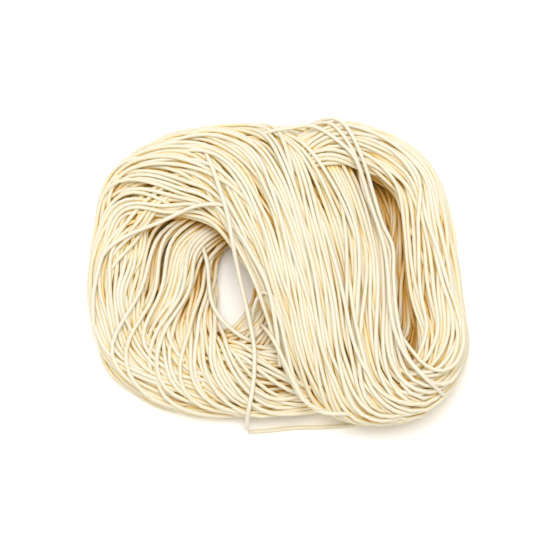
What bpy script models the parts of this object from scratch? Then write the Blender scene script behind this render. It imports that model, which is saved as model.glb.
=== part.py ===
"""Bundle of dried wheat vermicelli, laid down as a skein.

Two flat lays of strands make it. The ring runs round the whole bundle, and the eight runs outside
it, climbs at the back left, crosses over the middle as a broad slanting band, and comes back
under that band. They leave a drop-shaped hole on the left and a narrow slit on the right. The
solid here is the bundle out to its uneven outline, made of thick locks of strands that run along
both lays and are merged into one body, with the flat underside that it rests on.

Units are metres, +Z is up, and the origin is at the middle of the bundle's box, on its underside.
"""

import math

import bmesh
import bpy
import numpy as np
from mathutils import Matrix

MM = 0.001

# A lay is a closed loop of sections. Each section gives two to four evenly spaced points across
# the lay, from one edge to the other, and half of the lay's thickness there, all in millimetres.
RING = (
    (((-19.5, -5, 5), (-48.5, -8, 9)), 4.2),
    (((-20.5, -15, 7), (-53, -27.5, 6.5)), 3.9),
    (((-17, -20.5, 8.5), (-39.5, -40, 6)), 3.8),
    (((-8.5, -21.5, 9.5), (-12, -46, 6)), 3.8),
    (((3.5, -21.5, 9.5), (6, -44, 6.5)), 4.4),
    (((17, -24, 6.5), (17, -41, 6)), 5.2),
    (((28, -23.5, 5), (32, -40, 5)), 4.6),
    (((32, -16.5, 5), (44, -34.5, 5)), 4.4),
    (((31.5, -1, 5), (48.5, -6, 5)), 4.4),
    (((30.5, 15.5, 5), (48, 20.5, 5)), 4.4),
    (((26.5, 26, 5), (39.5, 36, 5)), 4.4),
    (((18, 29.5, 5), (20, 43, 5)), 4.4),
    (((4, 20, 5), (0.5, 42, 5)), 4.4),
    (((-5.5, 14, 5), (-12, 27, 5)), 5.2),
    (((-13.5, 11, 6), (-26.5, 24, 6.5)), 5.2),
    (((-18, 4, 5.5), (-43, 14.5, 8)), 4.4),
)
EIGHT = (
    (((-40.5, -8.5, 4.5), (-47.3, -9, 7), (-51.7, -8.5, 3.5)), 5.2),
    (((-42, 6.5, 8), (-47.5, 8.5, 8.5), (-51, 11, 3)), 4.9),
    (((-37.5, 14.5, 11), (-43, 21.5, 11.5), (-46, 27, 8), (-47.5, 28.5, 2.5)), 4.3),
    (((-29, 14.5, 12.5), (-32.5, 27, 14), (-36, 35.5, 10), (-38.7, 38, 3)), 3.9),
    (((-19, 9.5, 14.5), (-21, 28.5, 15.5), (-22, 39.5, 11.5), (-24, 42.5, 3.5)), 3.5),
    (((-9.5, -2.5, 15), (-11.5, 22, 16.5), (-8, 38, 13), (-5, 44, 4.5)), 3.1),
    (((-3.5, -13, 15), (-4, 11, 17), (3, 29.5, 16.5), (11, 45.3, 9.5)), 2.7),
    (((1.5, -25, 13.5), (2.5, -3.5, 16.5), (12.5, 14.5, 16.5), (24, 36, 12)), 2.7),
    (((6.5, -35.5, 11), (9, -18.5, 14.5), (20, -2.5, 14), (32.5, 16.5, 10.5)), 3),
    (((14, -45, 7), (16.5, -32, 12.5), (25, -19.5, 12.5), (36, -4, 10)), 3.6),
    (((25, -45, 6.5), (27, -41.5, 12), (31.5, -32, 12.5), (34, -19, 10)), 4.4),
    (((36, -44, 6), (37.5, -41.5, 12), (38.5, -36.5, 12.5), (38, -30, 10)), 4.8),
    (((43, -38, 6), (42.3, -35.5, 12.5), (41.5, -29, 11)), 4.9),
    (((48.5, -27.5, 6), (47, -26.5, 13), (43.5, -20.5, 11.5)), 5.2),
    (((48.5, -9.5, 6), (46, -9.5, 14), (42, -5, 12)), 5),
    (((47, 10.5, 6), (44.5, 9, 14), (40, 12, 12)), 5),
    (((43.5, 28.5, 6), (40.5, 26, 14), (35.5, 24.5, 12)), 4.8),
    (((34.5, 38.5, 6), (32.5, 33.5, 14), (28, 30, 12)), 4.6),
    (((21.5, 43.5, 7), (19, 37, 14.5), (18, 32, 12.5)), 4.2),
    (((6, 41.5, 10), (10, 23.5, 12)), 4.2),
    (((-2, 24.5, 9.5), (8, 9.5, 11)), 4.4),
    (((-4.5, 6, 7.5), (7, -5.5, 8.5)), 4.6),
    (((-7, -9, 5), (4, -23.5, 5)), 4.5),
    (((-16, -19, 4), (-10, -40.5, 4)), 3.3),
    (((-26.5, -19.5, 3.5), (-34, -40.5, 4)), 3.3),
    (((-34, -15.5, 3.5), (-51.5, -28.5, 4)), 3.6),
)

LOCK_SPACING = 3.6 * MM  # between the points of a lock
RING_LOCKS = 7  # locks side by side across the ring
EIGHT_LOCKS = 14
FULLNESS = 1.2  # a lock's radius over the lay's half thickness
EDGE_ROOM = 0.6  # of a lock's radius, between the outer locks and the edges of the lay
SWAY = 0.5  # how far a lock drifts sideways, as a share of the gap to the next one
SWAY_WAVES = 3  # drifts in one turn of the lay
SWAY_SHIFT = 2.4  # radians from one lock's drift to the next one's
RISE = 0.55  # how far a lock rises and falls, as a share of the half thickness
RISE_WAVES = 5
RISE_SHIFT = 1.7
SWELL = 0.08  # how much a lock's radius varies
SWELL_WAVES = 4
SWELL_SHIFT = 3.1
LOCK_SIDES = 3  # curve bevel resolution
ACROSS_STEP = 0.02  # of the half width, to find the direction across the lay

MERGE_SIZE = 1.5 * MM  # edge length of the merged surface
SOFTEN_ROUNDS = 2  # smoothing passes over the merged surface
SOFTEN = 0.3
TRIANGLES = 9400  # of the thinned surface

TRIM_DEPTH = 20 * MM  # of the block that cuts the underside flat
TRIM_MARGIN = 30 * MM

CREAM = (0.87, 0.76, 0.54, 1.0)
ROUGHNESS = 0.6


def clear_scene():
    for item in list(bpy.data.objects):
        bpy.data.objects.remove(item, do_unlink=True)


def collection(name):
    found = bpy.data.collections.new(name)
    bpy.context.scene.collection.children.link(found)
    return found


def dry_dough():
    material = bpy.data.materials.new("dry_dough")
    material.use_nodes = True
    shader = material.node_tree.nodes["Principled BSDF"]
    shader.inputs["Base Color"].default_value = CREAM
    shader.inputs["Roughness"].default_value = ROUGHNESS
    shader.inputs["Metallic"].default_value = 0.0
    return material


def across(points, u):
    """The point at u, from -1 to 1, of the smooth line through evenly spaced points."""
    places = np.linspace(-1, 1, len(points))
    total = 0
    for i, point in enumerate(points):
        others = [places[j] for j in range(len(points)) if j != i]
        weight = 1.0
        for other in others:
            weight = weight * (u - other) / (places[i] - other)
        total = total + weight * point
    return total


def section_rows(lay):
    """One row a section: four points across the lay in metres, then the half thickness."""
    rows = []
    for points, half_thickness in lay:
        known = [np.array(point) * MM for point in points]
        even = [across(known, u) for u in (-1, -1 / 3, 1 / 3, 1)]
        rows.append(np.concatenate([*even, [half_thickness * MM]]))
    return np.array(rows)


def closed_lay(lay, spacing):
    """The lay's rows at even steps round its loop, on a closed cubic through its sections."""
    rows = section_rows(lay)
    middle = (rows[:, 3:6] + rows[:, 6:9]) / 2
    chord = np.linalg.norm(np.roll(middle, -1, axis=0) - middle, axis=1)
    knot = np.concatenate([[0], np.cumsum(chord)])
    before, after = np.roll(chord, 1)[:, None], chord[:, None]
    arriving = (rows - np.roll(rows, 1, axis=0)) / before
    leaving = (np.roll(rows, -1, axis=0) - rows) / after
    slope = (leaving * before + arriving * after) / (before + after)
    count = round(knot[-1] / spacing)
    place = np.arange(count) * knot[-1] / count
    k = np.searchsorted(knot, place, side="right") - 1
    nxt = (k + 1) % len(rows)
    f = ((place - knot[k]) / chord[k])[:, None]
    return (
        rows[k] * (2 * f**3 - 3 * f**2 + 1)
        + slope[k] * after[k] * (f**3 - 2 * f**2 + f)
        + rows[nxt] * (3 * f**2 - 2 * f**3)
        + slope[nxt] * after[k] * (f**3 - f**2)
    )


def lock_path(rows, u, v):
    """The points of one lock, which runs at u across the lay and v through its thickness."""
    points = [rows[:, 3 * i : 3 * i + 3] for i in range(4)]
    u, v = u[:, None], v[:, None]
    middle = across(points, 0.0)
    forward = np.roll(middle, -1, axis=0) - np.roll(middle, 1, axis=0)
    sideways = across(points, u + ACROSS_STEP) - across(points, u - ACROSS_STEP)
    outward = np.cross(forward, sideways)
    outward /= np.linalg.norm(outward, axis=1, keepdims=True)
    outward *= np.sign(np.cross(forward, points[3] - points[0])[:, 2:])
    return across(points, u) + outward * v * rows[:, 12:13]


def lock_curve(name, path, radius):
    curve = bpy.data.curves.new(name, "CURVE")
    curve.dimensions = "3D"
    curve.bevel_depth = 1.0
    curve.bevel_resolution = LOCK_SIDES
    spline = curve.splines.new("POLY")
    spline.points.add(len(path) - 1)
    spline.points.foreach_set("co", np.column_stack([path, np.ones(len(path))]).ravel())
    spline.points.foreach_set("radius", radius)
    spline.use_cyclic_u = True
    return curve


def evaluated_mesh(holder):
    """The mesh that an object's curve or modifiers make. The object is removed."""
    graph = bpy.context.evaluated_depsgraph_get()
    mesh = bpy.data.meshes.new_from_object(holder.evaluated_get(graph))
    bpy.data.objects.remove(holder, do_unlink=True)
    return mesh


def half_width(rows):
    """Half the length of the line across the lay, at each row."""
    steps = [rows[:, 3 * i + 3 : 3 * i + 6] - rows[:, 3 * i : 3 * i + 3] for i in range(3)]
    return sum(np.linalg.norm(step, axis=1) for step in steps) / 2


def locks(lay, count, name):
    """The meshes of the locks that fill one lay, side by side, the outer ones along its edges."""
    rows = closed_lay(lay, LOCK_SPACING)
    turn = np.arange(len(rows)) * 2 * math.pi / len(rows)
    meshes = []
    for i, side in enumerate(np.linspace(-1, 1, count)):
        swell = SWELL * np.sin(SWELL_WAVES * turn + SWELL_SHIFT * i)
        radius = rows[:, 12] * FULLNESS * (1 + swell)
        room = 1 - EDGE_ROOM * radius / half_width(rows)
        drift = SWAY * 2 / (count - 1) * np.sin(SWAY_WAVES * turn + SWAY_SHIFT * i)
        u = room * np.clip(side + drift, -1, 1)
        v = RISE * np.sin(RISE_WAVES * turn + RISE_SHIFT * i)
        curve = lock_curve(f"{name}_{i}", lock_path(rows, u, v), radius)
        holder = bpy.data.objects.new(curve.name, curve)
        bpy.context.scene.collection.objects.link(holder)
        meshes.append(evaluated_mesh(holder))
    return meshes


def joined(meshes, name):
    body = bmesh.new()
    for mesh in meshes:
        body.from_mesh(mesh)
    result = bpy.data.meshes.new(name)
    body.to_mesh(result)
    body.free()
    return result


def largest_shell(body):
    """Removes every shell but the outer one, which has the most points."""
    left, shells = set(body.verts), []
    while left:
        shell, edge = set(), [left.pop()]
        while edge:
            vertex = edge.pop()
            shell.add(vertex)
            for link in vertex.link_edges:
                other = link.other_vert(vertex)
                if other in left:
                    left.remove(other)
                    edge.append(other)
        shells.append(shell)
    keep = max(shells, key=len)
    bmesh.ops.delete(body, geom=[v for v in body.verts if v not in keep], context="VERTS")


def merged(mesh):
    """One closed surface round all locks, softened."""
    holder = bpy.data.objects.new("locks", mesh)
    bpy.context.scene.collection.objects.link(holder)
    remesh = holder.modifiers.new("Merge", "REMESH")
    remesh.mode = "VOXEL"
    remesh.voxel_size = MERGE_SIZE
    result = evaluated_mesh(holder)
    body = bmesh.new()
    body.from_mesh(result)
    largest_shell(body)
    for _ in range(SOFTEN_ROUNDS):
        bmesh.ops.smooth_vert(
            body, verts=body.verts, factor=SOFTEN, use_axis_x=True, use_axis_y=True, use_axis_z=True
        )
    bmesh.ops.triangulate(body, faces=body.faces)
    body.to_mesh(result)
    body.free()
    return result


def thinned(mesh):
    """The same surface with fewer triangles."""
    holder = bpy.data.objects.new("fine", mesh)
    bpy.context.scene.collection.objects.link(holder)
    thin = holder.modifiers.new("Thin", "DECIMATE")
    thin.ratio = TRIANGLES / len(mesh.polygons)
    return evaluated_mesh(holder)


def centred(mesh):
    """Moves the mesh so that its box is centred over the origin."""
    places = np.empty(3 * len(mesh.vertices))
    mesh.vertices.foreach_get("co", places)
    places = places.reshape(-1, 3)
    middle = (places.min(axis=0) + places.max(axis=0)) / 2
    mesh.transform(Matrix.Translation((-middle[0], -middle[1], 0)))
    return mesh


def floor_trim(size, group):
    """The cutter below the floor."""
    body = bmesh.new()
    bmesh.ops.create_cube(body, size=1.0)
    width, depth = (side + 2 * TRIM_MARGIN for side in size[:2])
    bmesh.ops.transform(
        body,
        matrix=Matrix.Translation((0, 0, -TRIM_DEPTH / 2))
        @ Matrix.Diagonal((width, depth, TRIM_DEPTH, 1)),
        verts=body.verts,
    )
    mesh = bpy.data.meshes.new("floor_trim")
    body.to_mesh(mesh)
    body.free()
    cutter = bpy.data.objects.new("floor_trim", mesh)
    group.objects.link(cutter)
    cutter.hide_render = True
    cutter.display_type = "WIRE"
    return cutter


def vermicelli_bundle(group, cutters):
    lays = locks(RING, RING_LOCKS, "ring") + locks(EIGHT, EIGHT_LOCKS, "eight")
    mesh = centred(thinned(merged(joined(lays, "locks"))))
    mesh.name = "vermicelli_bundle"
    mesh.materials.append(dry_dough())
    mesh.shade_smooth()
    bundle = bpy.data.objects.new("vermicelli_bundle", mesh)
    group.objects.link(bundle)
    trim = bundle.modifiers.new("Flat underside", "BOOLEAN")
    trim.operation = "DIFFERENCE"
    trim.object = floor_trim(bundle.dimensions, cutters)
    return bundle


def main():
    clear_scene()
    group = collection("Bundle of dried wheat vermicelli")
    cutters = collection("Cutters")
    vermicelli_bundle(group, cutters)


main()
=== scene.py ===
"""Dried wheat vermicelli: the strands of one flat bundle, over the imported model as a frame.

The strands are wound along two closed lays, the ring and the eight, then settled so that they rest
on each other. Single loose strands are laid over them. Geometry Nodes give the paths their thickness.
Lengths of the bundle are in millimetres until a mesh is made, and the scene is in metres.
"""

import math

import bpy
import numpy as np
from bpy.props import FloatProperty, FloatVectorProperty, IntProperty, PointerProperty
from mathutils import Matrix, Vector


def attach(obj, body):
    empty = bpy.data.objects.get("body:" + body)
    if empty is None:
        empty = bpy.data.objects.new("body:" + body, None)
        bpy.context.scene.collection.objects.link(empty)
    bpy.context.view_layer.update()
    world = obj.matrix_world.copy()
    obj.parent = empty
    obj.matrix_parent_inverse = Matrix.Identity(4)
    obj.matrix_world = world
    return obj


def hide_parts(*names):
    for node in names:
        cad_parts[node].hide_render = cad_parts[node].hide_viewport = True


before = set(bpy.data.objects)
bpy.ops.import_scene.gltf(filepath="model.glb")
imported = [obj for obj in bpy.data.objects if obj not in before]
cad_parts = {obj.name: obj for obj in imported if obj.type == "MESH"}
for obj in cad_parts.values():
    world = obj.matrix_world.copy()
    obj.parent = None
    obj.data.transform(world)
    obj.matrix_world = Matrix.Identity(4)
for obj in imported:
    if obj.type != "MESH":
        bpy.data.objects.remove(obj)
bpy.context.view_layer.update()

bl_info = {
    "name": "Dried Wheat Vermicelli Bundle",
    "version": (1, 0, 0),
    "blender": (4, 5, 0),
    "location": "3D View > Sidebar > Vermicelli",
    "description": "Winds and settles a flat bundle of dried wheat vermicelli on a plain stage",
    "category": "Object",
}

MM = 0.001
NODE = "vermicelli_bundle"
BODY = "root"

# A lay is a closed loop of sections. Each section gives two to four evenly spaced points across
# the lay, from one edge to the other, half of the lay's thickness there, all in millimetres, and
# how fast the strands roll about each other there, in degrees to the millimetre.
RING = (
    (((-17.9, -5.2, 5), (-48.5, -8, 9)), 4.2, -0.1),
    (((-17.3, -13.2, 7), (-53, -27.5, 6.5)), 3.9, 1.8),
    (((-15, -18.8, 8.5), (-39.5, -40, 6)), 3.8, 4.6),
    (((-8.5, -20.6, 9.5), (-12, -46, 6)), 3.8, 3.8),
    (((3.5, -21.5, 9.5), (6, -44, 6.5)), 4.4, 1.8),
    (((17, -24, 6.5), (17, -41, 6)), 5.2, 0.6),
    (((28, -23.5, 5), (32, -40, 5)), 4.6, 0.5),
    (((32, -16.5, 5), (44, -34.5, 5)), 4.4, 0.5),
    (((31.5, -1, 5), (48.5, -6, 5)), 4.4, 0.5),
    (((30.5, 15.5, 5), (48, 20.5, 5)), 4.4, 0.5),
    (((26.5, 26, 5), (39.5, 36, 5)), 4.4, 0.5),
    (((18, 29.5, 5), (20, 43, 5)), 4.4, 0.5),
    (((4, 20, 5), (0.5, 42, 5)), 4.4, 0.5),
    (((-5.5, 14, 5), (-12, 27, 5)), 5.2, 0.8),
    (((-13.5, 11, 6), (-26.5, 24, 6.5)), 5.2, 0.8),
    (((-18, 4, 5.5), (-43, 14.5, 8)), 4.4, 0.4),
)
EIGHT = (
    (((-40.5, -8.5, 4.5), (-47.3, -9, 7), (-51.7, -8.5, 3.5)), 5.2, -1.5),
    (((-42, 6.5, 8), (-47.5, 8.5, 8.5), (-51, 11, 3)), 4.9, -2.4),
    (((-37.5, 14.5, 11), (-43, 21.5, 11.5), (-46, 27, 8), (-47.5, 28.5, 2.5)), 4.3, -2.4),
    (((-29, 14.5, 12.5), (-32.5, 27, 14), (-36, 35.5, 10), (-38.7, 38, 3)), 3.9, -2.2),
    (((-19, 9.5, 14.5), (-21, 28.5, 15.5), (-22, 39.5, 11.5), (-24, 42.5, 3.5)), 3.5, -1.6),
    (((-9.5, -2.5, 15), (-11.5, 22, 16.5), (-8, 38, 13), (-5, 44, 4.5)), 3.1, -1.1),
    (((-3.5, -13, 15), (-4, 11, 17), (3, 29.5, 16.5), (11, 45.3, 9.5)), 2.7, -0.7),
    (((1.5, -25, 13.5), (2.5, -3.5, 16.5), (12.5, 14.5, 16.5), (24, 36, 12)), 2.7, -0.5),
    (((6.5, -35.5, 11), (9, -18.5, 14.5), (20, -2.5, 14), (32.5, 16.5, 10.5)), 3, -0.7),
    (((14, -45, 7), (16.5, -32, 12.5), (25, -19.5, 12.5), (36, -4, 10)), 3.6, -1.3),
    (((25, -45, 6.5), (27, -41.5, 12), (31.5, -32, 12.5), (34, -19, 10)), 4.4, -2.4),
    (((36, -44, 6), (37.5, -41.5, 12), (38.5, -36.5, 12.5), (38, -30, 10)), 4.8, -2.8),
    (((43, -38, 6), (42.3, -35.5, 12.5), (41.5, -29, 11)), 4.9, -1.8),
    (((48.5, -27.5, 6), (47, -26.5, 13), (43.5, -20.5, 11.5)), 5.2, -0.5),
    (((48.5, -9.5, 6), (46, -9.5, 14), (42, -5, 12)), 5, -0.3),
    (((47, 10.5, 6), (44.5, 9, 14), (40, 12, 12)), 5, -0.3),
    (((43.5, 28.5, 6), (40.5, 26, 14), (35.5, 24.5, 12)), 4.8, -0.3),
    (((34.5, 38.5, 6), (32.5, 33.5, 14), (28, 30, 12)), 4.6, -0.4),
    (((21.5, 43.5, 7), (19, 37, 14.5), (18, 32, 12.5)), 4.2, -0.5),
    (((6, 41.5, 10), (10, 23.5, 12)), 4.2, -0.5),
    (((-2, 24.5, 9.5), (8, 9.5, 11)), 4.4, -0.5),
    (((-4.5, 6, 7.5), (7, -5.5, 8.5)), 4.6, -0.5),
    (((-7, -9, 5), (4, -23.5, 5)), 4.5, -0.8),
    (((-16, -19, 4), (-10, -40.5, 4)), 3.3, -1.5),
    (((-26.5, -19.5, 3.5), (-34, -40.5, 4)), 3.3, -1.8),
    (((-34, -15.5, 3.5), (-51.5, -28.5, 4)), 3.6, -1.5),
)

# Loose strands lie over the bundle, one hangs over its front edge and one lies beside it. Their routes
# are seen from above, in millimetres, in the frame of the lays.
LOOSE = (
    ((-8.5, -20), (-7, -13.5), (-4.6, -11), (-2, -12.5), (0.2, -17), (1.7, -25), (2.9, -32), (5.6, -39.5)),
    ((-16, 12), (-14, 6.5), (-8.5, -4.5), (-5, -13.5), (0, -28), (4, -37.5), (7.5, -42.5), (13, -46),
     (21, -46)),
    ((-13, 10), (-11.5, 5.5), (-5, -4.5), (-2, -14), (0.5, -20.5), (2, -27), (5, -38), (9, -43)),
    ((-14, 11), (-12.5, 8), (-7, -2), (-3, -11), (-0.5, -24), (0.5, -33)),
    ((-6, -17), (-2.5, -23.5), (1, -30.5), (4.5, -38), (8, -43.5), (15, -46)),
    ((7, 43.5), (14, 43), (18.5, 39), (23.5, 30), (25.5, 21.5), (30, 11.5), (33, 3.5), (33, -2.5),
     (33.5, -14.5), (35, -22), (39, -29), (42.5, -33.5), (46.5, -35), (51, -32.5), (53.5, -26), (53.5, -16)),
    ((9, 44.5), (16.5, 44), (21, 39.5), (25.5, 29.5), (28, 21.5), (31, 11.5), (34, 4.5), (34, -5.5),
     (34.5, -17), (36, -26.5), (38, -32), (42, -37), (46, -38.5), (50, -37), (53.5, -31)),
    ((-7, 41), (3.5, 41.5), (7.5, 42), (10.5, 41.5), (15, 38.5), (22, 31.5), (25, 25), (26.5, 20), (31, 6),
     (32.3, -4), (32.6, -14), (33.8, -22.5), (36.6, -30.5), (41, -36.5), (46, -40), (50, -41)),
    ((-13, 15), (-19, 16), (-26, 15.5), (-34.5, 12), (-44.5, 8), (-51.5, 3), (-53.5, -2.5), (-55, -10.5),
     (-54.5, -22)),
    ((-23, 8), (-21.3, 1), (-20.8, -5), (-20.2, -9.5), (-18.8, -13.5), (-15.5, -18), (-11, -22),
     (-5, -24.5)),
    ((11.9, 13.9), (15.8, 1.2), (17.9, -6.8), (19.4, -14.7), (21.2, -24.2), (24, -32.5), (28, -38)),
)
HANGING = (
    ((-22, 33.5), (-18, 22), (-15, 12), (-14, 6), (-12, -3.5), (-9, -16), (-7.2, -26), (-7.2, -34),
     (-7.8, -39.5), (-9, -45), (-9.6, -49.5)),
)
ON_THE_TABLE = (((-9, -48.5), (-2.5, -48), (5, -47.2), (13, -47), (22.5, -46.2), (32, -43), (38, -38)),)

# Winding
POINT_STEP = 1.25  # mm between the points of a strand while it settles
HALF_THICKNESS, ROLL, DIRECTION = 12, 13, slice(14, 17)  # columns of a lay's rows, after four points
FINE_ROWS = 4000  # rows that measure a lay's length
ACROSS_STEP = 0.02  # of the half width, to find the direction across a lay
WANDER_EVERY = 100  # points between two random places that a strand drifts to
OWN_WANDER = 0.5  # of the wander, for the part that is each strand's own
SHORT_EVERY = 46  # points between two random places of a strand's small waves
SHORT_WANDER = 0.2  # of the wander, for those small waves
DEEP_WANDER = 0.34  # of the sideways wander, up and down
END_LENGTH = 40  # points over which the ends of a strand run into the middle of the lay
END_PLACE = 0.15  # of the half width, where a strand ends
DRIFT_WAVES = 30  # waves that add up to the drift that neighbours share
DRIFT_ROUND = 2  # most waves of the drift round a lay
DRIFT_ACROSS = 2.6  # how fast the drift changes over the half width, in radians
DRIFT_DEEP = 3.2  # how fast it changes through the half thickness
EDGE = 0.98  # of the half width, where a drifting strand turns back
EDGE_SHAPE = 3.5  # roundness of a section, from 2 for an ellipse to a large number for a rectangle
EDGE_SOFTENING = 12  # points over which a turn at the edge is rounded
CORNER_PULL = 0.55  # how far the places in a section are drawn into its corners
SEED = 3
NOISE_TARGETS = 512  # random values drawn for each slow noise, more than any strand needs

# Settling
SETTLE_REBUILD = 8  # rounds between two searches for neighbours
SETTLE_CALM = 16  # last rounds, which only part overlapping strands
STIFFNESS = 24  # how often the strands' offsets are evened in each settling round
CALM_STIFFNESS = 6  # the same in the last rounds
NEAR = 1.8  # mm within which two points count as neighbours
ROWS_ONWARD = ((0, 0), (0, 1), (1, -1), (1, 0), (1, 1))  # rows of cells up and over, each pair met once
SAME_STRAND_GAP = 4  # points of one strand that never push each other
TOUCH_LENGTH = 0.8  # of the point step, along the strand, within which points touch
PUSH = 1.6  # of what would just part two strands
PUSH_SHARING = 0.6  # how far a push weakens where many strands touch
FLOOR_RISE = 0.55  # of the diameter, from the floor to the middle of the lowest strands

# Loose strands
ROUTE_STEPS = 40  # steps between two points of a route while its length is measured
FEWEST_POINTS = 4  # of a strand along a route
DRAPE_ROUNDS = 400  # rounds in which a loose strand sinks onto the others
DRAPE_SAG = 0.004  # mm that an unsupported loose strand sinks in each round
TUCK_LENGTH = 9  # mm at each end of a loose strand that dives between the others
TUCK_DEPTH = 2.6  # mm that the very end dives

# Core
CORE_CELL = 1.5  # mm
CORE_INSET = 2  # cells between the core's edge and the bundle's
CORE_COVER = 3.2  # mm of strands over and under the core
CORE_THINNEST = 1.5  # mm

# Shelter and depth, which tell where painted shade darkens the strands between and under the others
SHELTER_CELL = 0.5  # mm, of the grid that holds how full the bundle is
SHELTER_MARGIN = 6  # empty cells on each side of that grid
SHELTER_REACH = (0.45, 0.9, 1.4, 2.0, 2.8, 3.8)  # mm out of a strand where its surroundings are read
SHELTER_STRENGTH = 1.1  # how fast the shelter grows with the strands in front
UNDERSIDE_SHELTER = 0.72  # how far a side that faces level takes the painted side shade, and more where it faces down
LIGHT_LOSS = 0.5  # how fast the light fades in layers of cells that are full
LIGHT_SPREAD = 3  # cells that it spreads sideways in each layer
LOOSE_DEPTH = 0.3  # of their depth, by which the loose strands take the painted deep shade

# Meshes
EIGHT_PIECES = "abc"  # endings of the names of the pieces that the eight's strands are shared out to
POINTS_PER_RING = 2  # points of a path for each ring of a strand's mesh
OWN_THICKNESS = 0.025  # of the diameter, by which strands differ
THICKNESS_CHANGE = 0.02  # of the diameter, by which one strand changes along its length
THICKNESS_EVERY = 12  # rings between two such changes
TONE_CHANGE = 0.12  # of all tones, by which one strand changes along its length
TONE_EVERY = 30  # rings between two such changes
PATCH_MARGIN = 0.12  # of a row of the strands' UV map, left empty beside each strand
PATCH_START, PATCH_REST = 0.002, 0.01  # of the UV map's width, left empty before and after the rows

# Dough. A colour comes in with a weighted sum of what varies, from a starting value on.
FLOUR_SCALE, FLOUR_DETAIL = 260.0, 3.0
GRAIN_SCALE, GRAIN_DETAIL = 3200.0, 2.0
PALE_BY_TONE, PALE_BY_FLOUR, PALE_FROM = 0.75, 0.5, 0.15
# Painted shade, golden, on the strands' flanks and in the gaps between them, by shelter and depth
SIDE_SHADE_BY_SHELTER, SIDE_SHADE_BY_DEPTH, SIDE_SHADE_FROM = 2.8, 1.3, 1.35
# Painted shade, dark brown, deep between and under the strands, by depth
DEEP_SHADE_BY_DEPTH, DEEP_SHADE_FROM = 3.2, 1.35
SMOOTHEST, FLOURY_ROUGHNESS = 0.44, 0.22
BUMP_BY_FLOUR = 0.5  # of the grain's height
BUMP_STRENGTH = 0.35
BUMP_HEIGHT = 0.03 * MM
CORE_ROUGHNESS = 0.7
GLOW_REACH = 0.6 * MM  # how far light runs inside the dough
GLOW_BY_COLOUR = (1.0, 0.7, 0.35)

# Stage
FLOOR_HALF = 3.0  # m
FLOOR_SHADE = 0.97  # of the floor's colour, in its slightly darker patches
FLOOR_SCALE, FLOOR_DETAIL = 6.0, 2.0
FLOOR_ROUGHNESS = 0.75
LAMP_PLACE = (-0.02, 0.03, 0.7)  # m
LAMP_SIZE = 0.5  # m
AIM = (-3.6, 0.6, 8)  # mm, where the camera looks, in the frame of the lays
SENSOR_WIDTH = 36.0  # mm
NEAREST_SEEN = 0.01  # m

# Numbers of the sockets that share a name with others of their node
OBJECT_PLACE = 3  # output of Texture Coordinate
ONE_NUMBER = 2  # output of Attribute
MIX_FACTOR, MIX_A, MIX_B, MIX_RESULT = 0, 6, 7, 2  # Mix, where it mixes colours


class BundleSizes(bpy.types.PropertyGroup):
    """Sizes of the strands and how they are wound."""

    strand_diameter: FloatProperty(
        name="Strand Diameter",
        description="Thickness of one dried strand",
        default=1.2 * MM,
        min=0.5 * MM,
        unit="LENGTH",
        precision=5,
    )
    strand_sides: IntProperty(
        name="Strand Sides",
        description="Faces round one strand",
        default=10,
        min=5,
        max=12,
    )
    ring_strands: IntProperty(
        name="Ring Strands",
        description="Strands wound along the ring lay",
        default=11,
        min=1,
    )
    ring_turns: IntProperty(
        name="Ring Turns",
        description="Turns that each strand makes along the ring lay",
        default=8,
        min=1,
    )
    eight_strands: IntProperty(
        name="Eight Strands",
        description="Strands wound along the lay that crosses over the middle",
        default=10,
        min=1,
    )
    eight_turns: IntProperty(
        name="Eight Turns",
        description="Turns that each strand makes along the lay that crosses over the middle",
        default=16,
        min=1,
    )
    wander: FloatProperty(
        name="Wander",
        description="How far a strand drifts between its neighbours",
        default=3.0 * MM,
        min=0.0,
        unit="LENGTH",
        precision=5,
    )
    settle_rounds: IntProperty(
        name="Settling Rounds",
        description="Rounds in which overlapping strands push each other apart",
        default=120,
        min=20,
    )
    settle_drop: FloatProperty(
        name="Drop per Round",
        description="How far a strand sinks in each settling round",
        default=0.02 * MM,
        min=0.0,
        unit="LENGTH",
        precision=5,
    )
    settle_hold: FloatProperty(
        name="Hold",
        description="How strongly a strand is drawn back to where it was wound",
        default=0.02,
        min=0.0,
        max=1.0,
        subtype="FACTOR",
    )


class BundleColours(bpy.types.PropertyGroup):
    """Colours of the dried dough, and of the painted shade on it."""

    pale: FloatVectorProperty(
        name="Pale Dough",
        description="Lightest strands, with a little flour on them",
        default=(0.71, 0.67, 0.565),
        subtype="COLOR",
        size=3,
        min=0.0,
        max=1.0,
    )
    deep: FloatVectorProperty(
        name="Deep Dough",
        description="Yellowest strands",
        default=(0.71, 0.65, 0.49),
        subtype="COLOR",
        size=3,
        min=0.0,
        max=1.0,
    )
    # Painted shade: the dark brown that stands in for the deep shade between and under the strands, also
    # used for the core
    inner: FloatVectorProperty(
        name="Inner Strands",
        description="Strands deep inside the bundle",
        default=(0.6, 0.335, 0.06),
        subtype="COLOR",
        size=3,
        min=0.0,
        max=1.0,
    )
    # Painted shade: the golden colour that stands in for the warm shade on the strands' flanks and in the
    # gaps between them
    side: FloatVectorProperty(
        name="Sheltered Sides",
        description="Sides of the strands, where no flour has come",
        default=(0.91, 0.715, 0.305),
        subtype="COLOR",
        size=3,
        min=0.0,
        max=1.0,
    )


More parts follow.
